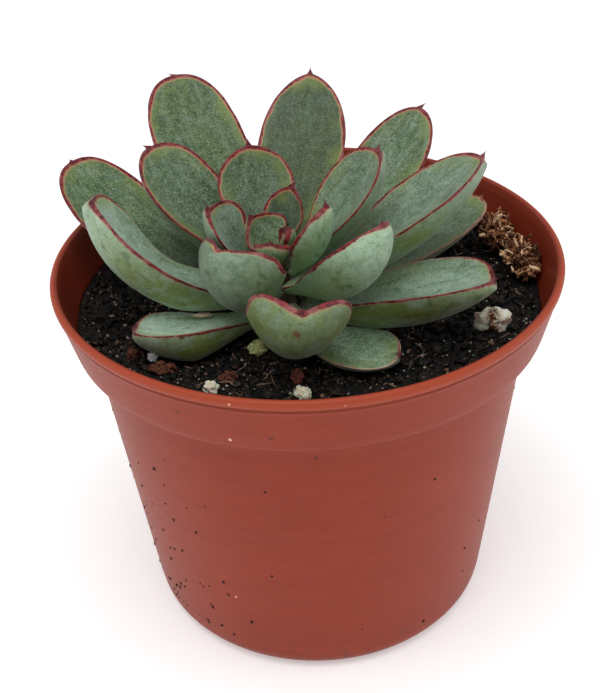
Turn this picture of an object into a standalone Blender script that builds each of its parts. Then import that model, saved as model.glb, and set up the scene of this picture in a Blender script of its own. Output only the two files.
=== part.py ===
"""Potted rosette succulent: Echeveria pulidonis in a thin round nursery pot.

Lengths are written in millimetres and turned to metres by MM where a mesh is made. The origin is
the middle of the pot's flat underside, +Z is up and the side seen first faces -Y.
"""
import math
import random

import bmesh
import bpy
from mathutils import Matrix, Vector, noise

MM = 0.001
FIT = 0.3                      # clearance between neighbouring pieces
MERGE = 0.00001                # metres, closes a turned profile on its axis

# Pot: radius and height along its outside from the lip down to the foot, then its underside.
TURNS = 40
POT_LIP = [(41.15, 65.9), (41.3, 66.35), (41.75, 66.5), (42.25, 66.35), (42.5, 65.9), (42.4, 65.2),
           (42.0, 64.85), (42.05, 64.3), (41.85, 63.9)]
POT_BAND = [(40.0, 56.5), (39.6, 55.8), (38.0, 55.3), (37.3, 54.9), (36.9, 54.2)]
POT_FOOT = [(31.0, 5.0), (30.6, 2.6), (29.6, 1.0), (28.2, 0.25), (26.4, 0.0)]
POT_UNDERSIDE = [(18.0, 0.0), (17.4, 1.0), (16.4, 1.5), (0.0, 1.5)]
POT_INSIDE = [(0.0, 2.7), (16.8, 2.7), (18.0, 2.2), (18.8, 1.2), (26.2, 1.2), (28.2, 1.8),
              (29.5, 3.4), (29.95, 5.2), (35.9, 54.6), (36.4, 55.8), (38.3, 56.5), (38.95, 57.1)]
DRAIN_RADIUS = 2.5
DRAIN_MIDDLE_RADIUS = 3.0
DRAIN_CIRCLE = 12.0
DRAIN_COUNT = 6
DRAIN_DEPTH = 6.0
DRAIN_HEIGHT = 2.0             # middle of the drain cutters
DRAIN_SIDES = 16

# Soil: a filled body whose top lies about eight millimetres under the lip.
SOIL_TOP = 58.4
SOIL_RINGS = [36.5, 33.5, 30.0, 26.5, 23.0, 19.5, 16.0, 12.5, 9.0, 5.5, 0.0]
SOIL_ROUGHNESS = 0.55
SOIL_GRAIN = 0.16              # relief waves per millimetre
SOIL_RIPPLE = 2.7              # the finer relief's waves for each wave of the broad one
LEAF_REACH = 3.4               # soil this near to a leaf's underside is pressed down
LEAF_CLEAR = 0.5
PRESSING_HEIGHT = 7.0          # leaves rooted below this may press the soil

# Plant: leaves stand round a short stem; leaf heights are counted from DATUM.
DATUM = 59.5
PLANT_X = -5.0
PLANT_Y = -8.0
ROOT_RADIUS = 4.3
STEM_TAPER = 0.2               # the stem narrows by this much for each millimetre of height
STEM_RADIUS = 3.6
STEM_PROFILE = [(0.0, 70.1), (1.0, 70.0), (1.5, 69.5), (2.25, 66.5), (3.05, 62.5), (STEM_RADIUS, DATUM),
                (STEM_RADIUS, 50.0), (3.2, 47.0), (2.0, 45.2), (0.0, 45.0)]
STEM_TURNS = 20
STEM_HOLE_DEPTH = 44.6
BUD_ROOT_RADIUS = 1.0
BUD_CORE_HEIGHT = 72.9
BUD_CORE_RADII = (1.9, 1.9, 1.7)

# Leaf: azimuth and pitch in degrees, sizes in millimetres. Each row holds azimuth, height over
# DATUM, pitch at the root, pitch at the tip, length, width, thickness, cup, roll, bend and
# bluntness, which is 1 for a broad end and 0 or less for a tapering one.
LEAVES = {
    "leaf_low_front_right": (-48, 0.1, 0, 4, 19.5, 11.8, 3.4, 0.04, 0, 32, 1.0),
    "leaf_low_front_left": (-152, 1.5, 4, 7, 20.5, 12.6, 6.0, 0.08, 14, -34, 1.0),
    "leaf_low_back_right": (73, 0.1, 2, 10, 31, 12.5, 3.8, 0.08, 0, 0, 0.8),
    "leaf_low_back_left": (112, 0.1, 2, 10, 31, 12.5, 3.8, 0.08, 0, 0, 0.8),
    "leaf_low_right": (34, 0.8, 4, 16, 40.5, 13.5, 4.2, 0.10, 0, 0, 0.8),
    "leaf_outer_right": (-15, 2.7, 6, 24, 32, 17.0, 5.0, 0.18, -9, 0, 0.9),
    "leaf_outer_left": (145, 1.9, 8, 46, 42.5, 16.4, 4.4, 0.06, -2, 0, 1.0),
    "leaf_outer_back_right": (51, 3.2, 14, 42, 43, 14.2, 4.4, 0.08, 0, 0, 0.5),
    "leaf_outer_back": (78, 6.7, 22, 48, 39.5, 15.2, 4.4, 0.05, 0, 0, 0.15),
    "leaf_outer_back_left": (112, 4.2, 16, 46, 47.5, 16.6, 4.4, 0.05, 0, 0, 1.0),
    "leaf_middle_left": (182, 4.8, 8, 66, 31.7, 16.2, 6.2, 0.14, 6, 0, 1.0),
    "leaf_middle_front": (-81, 4.0, 6, 62, 24.5, 15.6, 5.0, 0.12, -13, 0, 1.0),
    "leaf_middle_right": (15, 5.1, 20, 41, 36.5, 16.4, 5.2, 0.15, -9, 0, 0.4),
    "leaf_middle_back_left": (144, 7.2, 28, 56, 28, 15.6, 4.4, 0.12, 4, 0, 0.8),
    "leaf_middle_back_right": (25, 8.5, 34, 62, 23.5, 13.4, 4.2, 0.16, -5, 0, 0.6),
    "leaf_middle_back": (103, 9.0, 36, 66, 20, 12.8, 4.0, 0.08, 0, 0, 0.2),
    "leaf_inner_front_right": (-33, 7.5, 20, 70, 22, 14.2, 5.2, 0.16, -9, 0, 0.3),
    "leaf_inner_front_left": (-120, 6.7, 28, 78, 17, 15.8, 5.0, 0.15, 12, -26, 0.2),
    "leaf_young_right": (-24, 9.1, 48, 84, 14.2, 8.4, 2.6, 0.18, -14, 4, 0.2),
    "leaf_young_back": (72, 10.2, 47, 75, 11, 7.0, 1.9, 0.26, 0, -16, 0.0),
    "leaf_young_left": (178, 8.8, 44, 74, 13.5, 12.5, 2.8, 0.20, -8, 0, 0.5),
}
BUD_LEAVES = {
    "bud_leaf_back": (145, 11.9, 32, 82, 7.2, 11.2, 1.8, 0.16, 0, 10, -0.4),
    "bud_leaf_front": (-100, 11.4, 36, 90, 4.9, 6.6, 2.4, 0.16, 0, 0, -0.4),
    "bud_leaf_right": (10, 12.2, 60, 96, 4, 4.0, 2.2, 0.20, 0, 0, -0.4),
}
# Traits of single leaves: root share of the width, place of the widest part, cup at the tip,
# length and sideways lean of the point, how soon the leaf curves up (curl, low is sooner), and
# the distance of the root from the plant's axis (counted the other way where it is negative).
# A waist draws in one half of the blade, the other half where it is negative.
TRAITS = {
    "leaf_low_front_right": {"spine": 0.5},
    "leaf_low_front_left": {"spine": 0.5, "widest": 0.72, "root_share": 0.3},
    "leaf_outer_right": {"spine": 0.9, "root_share": 0.32},
    "leaf_outer_left": {"spine": 0.5},
    "leaf_outer_back_right": {"lean": 1.2},
    "leaf_outer_back_left": {"spine": 0.6, "lean": -1.6},
    "leaf_middle_left": {"spine": 0.6, "lean": -1.0, "curl": 1.0, "widest": 0.5,
                         "root_share": 0.34, "waist": 0.6},
    "leaf_middle_front": {"widest": 0.66, "tip_cup": 2.9, "root_share": 0.32},
    "leaf_middle_right": {"root_share": 0.21},
    "leaf_middle_back_left": {"spine": 1.0, "lean": -1.8, "root_share": 0.22},
    "leaf_middle_back_right": {"root_share": 0.19},
    "leaf_middle_back": {"root_share": 0.22},
    "leaf_inner_front_right": {"lean": -0.6, "root_share": 0.42},
    "leaf_inner_front_left": {"lean": 3.8, "widest": 0.6, "tip_cup": 2.4, "root_share": 0.37},
    "leaf_young_right": {"widest": 0.5, "root_share": 0.25},
    "leaf_young_back": {"lean": 1.2, "widest": 0.56, "root_share": 0.2, "root_radius": 2.9},
    "leaf_young_left": {"lean": -0.4, "root_share": 0.22},
    "bud_leaf_back": {"spine": 1.2, "lean": -1.6, "widest": 0.5, "root_radius": -0.2},
}
PLAIN_TRAITS = {"root_share": 0.25, "widest": 0.64, "tip_cup": 0.8, "spine": 1.3, "lean": 0.0,
                "curl": 1.5, "root_radius": None, "waist": 0.0}
WAIST_PLACE = 0.45
WAIST_SPREAD = 0.26
BUD_TRAITS = {"root_share": 0.5, "spine": 0.7, "root_radius": BUD_ROOT_RADIUS}
LEAF_SIDES = 12
LEAF_RINGS = [0.0, 0.10, 0.22, 0.35, 0.48, 0.61, 0.73, 0.83, 0.905, 0.96, 0.988, 1.0]
MIDRIB_STEPS = 60
EDGE = 1.0                     # thickness of a leaf's rim
TIP_HALF_WIDTH = 0.45
SAMPLE_RINGS = 26
SAMPLE_SIDES = 20

# Loose bits on the soil: place, lift of the middle over the soil, half sizes, turn and seed.
BITS = {
    "pumice": ("pumice", 29.4, -12.6, 0.9, (2.7, 2.2, 2.1), 20, 3, 1),
    "perlite_front": ("perlite", -1.7, -29.6, 0.5, (1.2, 1.1, 1.1), 0, 2, 2),
    "perlite_left": ("perlite", -15.7, -27.2, 0.6, (1.3, 1.0, 1.1), 20, 2, 3),
    "white_grain": ("perlite", -25.1, -17.4, 0.6, (0.8, 0.7, 0.7), 0, 2, 4),
    "bark_left": ("bark", -23.3, -20.9, 0.5, (2.1, 1.1, 1.0), 0, 2, 5),
    "bark_left_small": ("bark", -28.4, -16.4, 0.4, (1.2, 0.9, 0.8), 80, 2, 6),
    "bark_front": ("bark", -12.9, -24.3, 0.5, (1.5, 1.1, 0.9), 10, 2, 7),
    "stick": ("bark", -2.4, -24.8, 0.5, (2.4, 0.6, 0.6), 111, 2, 8),
    "coir_back": ("coir", 34.6, 13.1, 2.3, (1.9, 3.9, 2.8), 21, 3, 9),
    "coir_side": ("coir", 37.0, 3.0, 1.9, (2.1, 3.7, 2.4), 5, 3, 10),
    "green_chunk": ("green_chunk", -8.5, -16.1, 0.3, (1.5, 1.4, 1.4), 15, 2, 11),
    "withered_scale": ("scale", -17.2, -11.3, 4.1, (1.8, 0.5, 0.3), 0, 2, 12),
}
BIT_ROUGHNESS = 0.22
BIT_LUMPS = 1.6                # relief waves over a bit's half width
HOLLOW_CLEAR = 0.36

COLOURS = {
    "pot": ((0.36, 0.075, 0.04), 0.42),
    "soil": ((0.012, 0.008, 0.006), 0.95),
    "stem": ((0.16, 0.13, 0.06), 0.8),
    "leaf": ((0.13, 0.21, 0.12), 0.5),
    "bud": ((0.17, 0.2, 0.09), 0.5),
    "pumice": ((0.62, 0.5, 0.33), 0.9),
    "perlite": ((0.7, 0.67, 0.6), 0.9),
    "bark": ((0.12, 0.045, 0.022), 0.9),
    "coir": ((0.32, 0.17, 0.07), 0.95),
    "green_chunk": ((0.32, 0.33, 0.1), 0.9),
    "scale": ((0.5, 0.3, 0.22), 0.8),
}


def clear_scene():
    for thing in list(bpy.data.objects):
        bpy.data.objects.remove(thing, do_unlink=True)


def make_collection(name):
    collection = bpy.data.collections.new(name)
    bpy.context.scene.collection.children.link(collection)
    return collection


def make_material(name):
    colour, roughness = COLOURS[name]
    material = bpy.data.materials.new(name)
    material.use_nodes = True
    shader = material.node_tree.nodes["Principled BSDF"]
    shader.inputs["Base Color"].default_value = (*colour, 1.0)
    shader.inputs["Roughness"].default_value = roughness
    return material


def add_object(name, mesh, material, collection):
    thing = bpy.data.objects.new(name, mesh)
    if material is not None:
        mesh.materials.append(material)
    collection.objects.link(thing)
    return thing


def hide_cutter(cutter):
    cutter.hide_render = True
    cutter.display_type = "WIRE"


def settled_mesh(thing, name):
    """The mesh of an object with its modifiers worked in."""
    bpy.context.view_layer.update()
    graph = bpy.context.evaluated_depsgraph_get()
    mesh = bpy.data.meshes.new_from_object(thing.evaluated_get(graph))
    mesh.name = name
    return mesh


def turn_profile(name, profile, turns, material, collection):
    """Turn a profile of (radius, height) pairs round the Z axis."""
    mesh = bpy.data.meshes.new(name)
    points = [(radius * MM, 0.0, height * MM) for radius, height in profile]
    mesh.from_pydata(points, [(i, i + 1) for i in range(len(points) - 1)], [])
    thing = add_object(name, mesh, material, collection)
    screw = thing.modifiers.new("turn", "SCREW")
    screw.axis = "Z"
    screw.angle = math.tau
    screw.steps = turns
    screw.render_steps = turns
    screw.use_merge_vertices = True
    screw.merge_threshold = MERGE
    return thing


def offset_profile(profile, distance):
    """Shift an open profile to its left by a distance, keeping axis points on the axis."""
    shifted = []
    for i, (radius, height) in enumerate(profile):
        normals = []
        for a, b in ((i - 1, i), (i, i + 1)):
            if a < 0 or b >= len(profile):
                continue
            along = Vector((profile[b][0] - profile[a][0], profile[b][1] - profile[a][1])).normalized()
            normals.append(Vector((-along.y, along.x)))
        middle = sum(normals, Vector((0.0, 0.0))).normalized()
        push = middle * (distance / middle.dot(normals[0]))
        if radius == 0.0:
            push.x = 0.0
        shifted.append((radius + push.x, height + push.y))
    return shifted


def make_pot(collection, cutters):
    profile = POT_INSIDE + POT_LIP + POT_BAND + POT_FOOT + POT_UNDERSIDE
    pot = turn_profile("pot", profile, TURNS, make_material("pot"), collection)
    holes = bmesh.new()
    places = [(0.0, 0.0, DRAIN_MIDDLE_RADIUS)]
    for i in range(DRAIN_COUNT):
        angle = math.tau * i / DRAIN_COUNT
        places.append((DRAIN_CIRCLE * math.cos(angle), DRAIN_CIRCLE * math.sin(angle), DRAIN_RADIUS))
    for x, y, radius in places:
        bmesh.ops.create_cone(holes, cap_ends=True, segments=DRAIN_SIDES, radius1=radius * MM,
                              radius2=radius * MM, depth=DRAIN_DEPTH * MM,
                              matrix=Matrix.Translation(Vector((x, y, DRAIN_HEIGHT)) * MM))
    mesh = bpy.data.meshes.new("drain_holes")
    holes.to_mesh(mesh)
    holes.free()
    cutter = add_object("drain_holes", mesh, None, cutters)
    hide_cutter(cutter)
    cut = pot.modifiers.new("drains", "BOOLEAN")
    cut.operation = "DIFFERENCE"
    cut.object = cutter
    return pot


def ease(t):
    t = min(max(t, 0.0), 1.0)
    return t * t * (3.0 - 2.0 * t)


def half_outline(s, root_share, widest, blunt):
    """Share of the half width at a share s of the length: narrow root, broad upper part."""
    if s < widest:
        return root_share + (1.0 - root_share) * ease(s / widest)
    u = min((s - widest) / (1.0 - widest), 1.0)
    return (1.0 - u ** (2.2 + 0.6 * blunt)) ** (0.66 - 0.22 * blunt)


def waist_share(s, x, waist):
    """Share left of one half of a leaf at a share s of its length."""
    if x * waist <= 0.0:
        return 1.0
    return 1.0 - abs(waist) * math.exp(-((s - WAIST_PLACE) / WAIST_SPREAD) ** 2)


def section_point(angle, s, waist, half, depth, cup, edge):
    """Side and height of a leaf's cross-section: a troughed upper face and a keeled underside."""
    x = math.cos(angle)
    q = min(abs(x), 1.0)
    rim = 0.5 * edge * math.sqrt(max(0.0, 1.0 - q ** 6))
    x *= waist_share(s, x, waist)
    trough = cup * x * x
    if math.sin(angle) > 1e-9:
        return x * half, trough + rim
    return x * half, trough - rim - depth * max(0.0, 1.0 - q ** 1.9) ** 0.8


def leaf_shape(row, traits, rings, sides):
    """Vertices and outward triangles of one leaf, in millimetres."""
    azimuth, height, pitch, tip_pitch, length, width, thickness, cup, roll, bend, blunt = row
    radius = traits["root_radius"]
    if radius is None:
        radius = ROOT_RADIUS - STEM_TAPER * height
    start = math.radians(azimuth)

    def angles(s):
        s = min(max(s, 0.0), 1.0)
        rise = math.radians(pitch + (tip_pitch - pitch) * s ** traits["curl"])
        return rise, math.radians(azimuth + bend * s ** 1.5)

    def tangent(s):
        rise, heading = angles(s)
        flat = math.cos(rise)
        return Vector((flat * math.cos(heading), flat * math.sin(heading), math.sin(rise)))

    root = Vector((PLANT_X + radius * math.cos(start), PLANT_Y + radius * math.sin(start), DATUM + height))
    midrib = [root]
    for i in range(MIDRIB_STEPS):
        midrib.append(midrib[-1] + tangent((i + 0.5) / MIDRIB_STEPS) * (length / MIDRIB_STEPS))

    def frame(s):
        x = min(s, 1.0) * MIDRIB_STEPS
        i = min(int(x), MIDRIB_STEPS - 1)
        point = midrib[i].lerp(midrib[i + 1], x - i)
        rise, heading = angles(s)
        along = tangent(s)
        steep = math.sin(rise)
        up = Vector((-steep * math.cos(heading), -steep * math.sin(heading), math.cos(rise)))
        side = along.cross(up)
        turn = math.radians(roll) * ease(s / 0.45)
        return (point, along, up * math.cos(turn) + side * math.sin(turn),
                side * math.cos(turn) - up * math.sin(turn))

    points = []
    for s in rings:
        point, along, up, side = frame(s)
        share = half_outline(s, traits["root_share"], traits["widest"], blunt)
        half = max(0.5 * width * share, TIP_HALF_WIDTH)
        swell = (0.45 + 0.55 * ease(s / 0.4)) * (1.0 - 0.75 * max(0.0, (s - 0.5) / 0.5) ** 2)
        depth = min((thickness - EDGE) * swell, 0.9 * half)
        edge = min(EDGE, 0.8 * half)
        tip_gain = 1.0 + (traits["tip_cup"] - 1.0) * max(0.0, (s - 0.6) / 0.4)
        trough = cup * 2.0 * half * ease(s / 0.3) * tip_gain
        for j in range(sides):
            angle = math.tau * j / sides
            x, z = section_point(angle, s, traits["waist"], half, depth, trough, edge)
            points.append(point + side * x + up * z)
    _, along, up, side = frame(0.0)
    points.append(root - up * (0.15 * thickness))
    tip, along, up, side = frame(1.0)
    points.append(tip + along * traits["spine"] + up * 0.3 + side * traits["lean"])

    last = len(rings) * sides
    faces = []
    for k in range(len(rings) - 1):
        for j in range(sides):
            near = (k * sides + j, k * sides + (j + 1) % sides)
            far = ((k + 1) * sides + j, (k + 1) * sides + (j + 1) % sides)
            faces.append((near[0], far[1], near[1]))
            faces.append((near[0], far[0], far[1]))
    for j in range(sides):
        following = (j + 1) % sides
        faces.append((last, j, following))
        faces.append((last + 1, last - sides + following, last - sides + j))
    return points, faces


def leaf_traits(name):
    traits = dict(PLAIN_TRAITS)
    if name in BUD_LEAVES:
        traits.update(BUD_TRAITS)
    traits.update(TRAITS.get(name, {}))
    return traits


def make_leaf(name, row, material, collection):
    points, faces = leaf_shape(row, leaf_traits(name), LEAF_RINGS, LEAF_SIDES)
    mesh = bpy.data.meshes.new(name)
    mesh.from_pydata([point * MM for point in points], [], faces)
    return add_object(name, mesh, material, collection)


def make_bud(collection):
    """The closed heart: a small core and its three smallest leaves, grown together."""
    material = make_material("bud")
    core = bpy.data.meshes.new("bud")
    shape = bmesh.new()
    bmesh.ops.create_icosphere(shape, subdivisions=2, radius=1.0)
    for vertex in shape.verts:
        x, y, z = vertex.co
        vertex.co = Vector((PLANT_X + BUD_CORE_RADII[0] * x, PLANT_Y + BUD_CORE_RADII[1] * y,
                            BUD_CORE_HEIGHT + BUD_CORE_RADII[2] * z)) * MM
    shape.to_mesh(core)
    shape.free()
    base = add_object("bud_core", core, material, collection)
    joined = make_collection("bud_leaves")
    for name, row in BUD_LEAVES.items():
        make_leaf(name, row, material, joined)
    join = base.modifiers.new("join", "BOOLEAN")
    join.operation = "UNION"
    join.operand_type = "COLLECTION"
    join.collection = joined
    mesh = settled_mesh(base, "bud")
    for thing in [base, *joined.objects]:
        bpy.data.objects.remove(thing, do_unlink=True)
    bpy.data.collections.remove(joined)
    return add_object("bud", mesh, None, collection)


def soil_relief(x, y):
    wave = noise.noise(Vector((x, y, 0.0)) * SOIL_GRAIN)
    ripple = noise.noise(Vector((x, y, 0.0)) * (SOIL_GRAIN * SOIL_RIPPLE))
    return SOIL_TOP + SOIL_ROUGHNESS * (wave + 0.5 * ripple)


def leaf_undersides():
    """Points on the leaves that may reach down to the soil."""
    rings = [i / (SAMPLE_RINGS - 1) for i in range(SAMPLE_RINGS)]
    points = []
    for name, row in LEAVES.items():
        if row[1] > PRESSING_HEIGHT:
            continue
        shape, _ = leaf_shape(row, leaf_traits(name), rings, SAMPLE_SIDES)
        points.extend(point for point in shape if point.z < SOIL_TOP + 2.0 * LEAF_REACH)
    return points


def pressed_height(x, y, undersides):
    height = soil_relief(x, y)
    for point in undersides:
        if math.hypot(point.x - x, point.y - y) < LEAF_REACH:
            height = min(height, point.z - LEAF_CLEAR)
    return height


def soil_edge():
    """Radius of the soil's rim, a clearance inside the pot's band."""
    low = POT_INSIDE[-1]
    high = POT_LIP[0]
    share = (SOIL_TOP - low[1]) / (high[1] - low[1])
    return low[0] + (high[0] - low[0]) * share - FIT


def make_soil(collection, cutters, bits):
    wall = offset_profile(POT_INSIDE, FIT)
    top = [(0.0, SOIL_TOP)] + [(radius, SOIL_TOP) for radius in reversed(SOIL_RINGS[:-1])]
    profile = top + [(soil_edge(), SOIL_TOP)] + list(reversed(wall))
    blank = turn_profile("soil_blank", profile, TURNS, None, collection)
    mesh = settled_mesh(blank, "soil")
    bpy.data.objects.remove(blank, do_unlink=True)
    undersides = leaf_undersides()
    rim = soil_edge() - FIT
    for vertex in mesh.vertices:
        x, y, z = vertex.co / MM
        if abs(z - SOIL_TOP) < 0.01 and math.hypot(x, y) < rim:
            vertex.co.z = pressed_height(x, y, undersides) * MM
    shape = bmesh.new()
    shape.from_mesh(mesh)
    bmesh.ops.triangulate(shape, faces=shape.faces[:])
    shape.to_mesh(mesh)
    shape.free()
    soil = add_object("soil", mesh, make_material("soil"), collection)

    hole = bmesh.new()
    depth = DATUM + FIT - STEM_HOLE_DEPTH
    middle = Vector((PLANT_X, PLANT_Y, STEM_HOLE_DEPTH + 0.5 * depth)) * MM
    bmesh.ops.create_cone(hole, cap_ends=True, segments=STEM_TURNS, radius1=(STEM_RADIUS + FIT) * MM,
                          radius2=(STEM_RADIUS + FIT) * MM, depth=depth * MM,
                          matrix=Matrix.Translation(middle))
    for thing in bits:
        hole.from_mesh(swollen_mesh(thing.data))
    cut_mesh = bpy.data.meshes.new("soil_hollows")
    hole.to_mesh(cut_mesh)
    hole.free()
    cutter = add_object("soil_hollows", cut_mesh, None, cutters)
    hide_cutter(cutter)
    cut = soil.modifiers.new("hollows", "BOOLEAN")
    cut.operation = "DIFFERENCE"
    cut.object = cutter
    return soil


def swollen_mesh(mesh):
    """A copy of a small rounded mesh, grown outward by the clearance."""
    shape = bmesh.new()
    shape.from_mesh(mesh)
    shape.normal_update()
    moved = [vertex.co + vertex.normal * (HOLLOW_CLEAR * MM) for vertex in shape.verts]
    for vertex, place in zip(shape.verts, moved):
        vertex.co = place
    copy = bpy.data.meshes.new("swollen")
    shape.to_mesh(copy)
    shape.free()
    return copy


def make_bit(name, entry, materials, collection):
    kind, x, y, lift, radii, turn, detail, seed = entry
    random.seed(seed)
    shift = Vector((random.uniform(0.0, 9.0), random.uniform(0.0, 9.0), random.uniform(0.0, 9.0)))
    middle = Vector((x, y, soil_relief(x, y) + lift))
    spin = Matrix.Rotation(math.radians(turn), 3, "Z")
    shape = bmesh.new()
    bmesh.ops.create_icosphere(shape, subdivisions=detail, radius=1.0)
    for vertex in shape.verts:
        way = vertex.co.normalized()
        growth = 1.0 + BIT_ROUGHNESS * noise.noise(way * BIT_LUMPS + shift)
        scaled = Vector((way.x * radii[0], way.y * radii[1], way.z * radii[2])) * growth
        vertex.co = (middle + spin @ scaled) * MM
    mesh = bpy.data.meshes.new(name)
    shape.to_mesh(mesh)
    shape.free()
    return add_object(name, mesh, materials[kind], collection)


def make_stem(collection):
    stem = turn_profile("stem", STEM_PROFILE, STEM_TURNS, make_material("stem"), collection)
    stem.location = Vector((PLANT_X, PLANT_Y, 0.0)) * MM
    return stem


def main():
    clear_scene()
    plant = make_collection("potted_echeveria_pulidonis")
    cutters = make_collection("cutters")
    make_pot(plant, cutters)
    make_stem(plant)
    leaf_material = make_material("leaf")
    for name, row in LEAVES.items():
        make_leaf(name, row, leaf_material, plant)
    make_bud(plant)
    kinds = sorted({entry[0] for entry in BITS.values()})
    materials = {kind: make_material(kind) for kind in kinds}
    bits = [make_bit(name, entry, materials, plant) for name, entry in BITS.items()]
    make_soil(plant, cutters, bits)


main()
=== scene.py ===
"""Looks of a potted rosette succulent: fine leaves, crumbly soil, moulded pot and their materials.

Shapes are written in millimetres in the row frame and turned to metres by MM.
"""

import math
import random

import bmesh
import bpy
import numpy as np
from mathutils import Matrix, Vector, noise
from mathutils.bvhtree import BVHTree


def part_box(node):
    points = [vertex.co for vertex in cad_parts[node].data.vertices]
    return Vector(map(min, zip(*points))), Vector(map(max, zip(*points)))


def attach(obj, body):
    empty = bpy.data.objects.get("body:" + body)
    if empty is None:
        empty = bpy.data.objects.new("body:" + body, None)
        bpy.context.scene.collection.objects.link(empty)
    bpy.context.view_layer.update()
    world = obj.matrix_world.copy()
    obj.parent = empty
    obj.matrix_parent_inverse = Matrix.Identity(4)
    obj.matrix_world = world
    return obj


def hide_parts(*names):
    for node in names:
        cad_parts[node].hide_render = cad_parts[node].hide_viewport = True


MM = 0.001
BODY = "root"

# Camera: place in millimetres in the row frame, downward pitch and slight lean in degrees.
CAMERA_PLACE = (-1.8, -182.3, 168.55)
CAMERA_PITCH = 33.5
CAMERA_ROLL = -3.0
CAMERA_LENS = 64.94

# Leaves, by the same rule as the solids. Each has a row of azimuth, height over DATUM, pitch at the
# root and at the tip, length, width, thickness, cup, roll, bend and bluntness. Its looks follow:
# olive of the upper face, pale bloom, yellow-green patches, red of the margin, brightness, side with
# a pale margin, side with a yellow-green face and painted shade at the root. Last come its own traits:
# root_share is the width at the root, widest the place of the full width, tip_cup scales the trough
# at the tip, a higher curl turns the pitch later, waist draws in the half on its side, and the
# point is spine long and leans aside by lean.
DATUM = 59.5
PLANT_X = -5.0
PLANT_Y = -8.0
ROOT_RADIUS = 4.3
STEM_TAPER = 0.2  # the stem narrows by this much for each millimetre of height
PLAIN_LOOK = (0.3, 0.2, 0.3, 0.8, 1.0, 0, 0, 0)
PLAIN_TRAITS = {"root_share": 0.25, "widest": 0.64, "tip_cup": 0.8, "spine": 1.3, "lean": 0.0,
                "curl": 1.5, "root_radius": None, "waist": 0.0}
BUD_TRAITS = {"root_share": 0.5, "spine": 0.7, "root_radius": 1.0}
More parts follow.
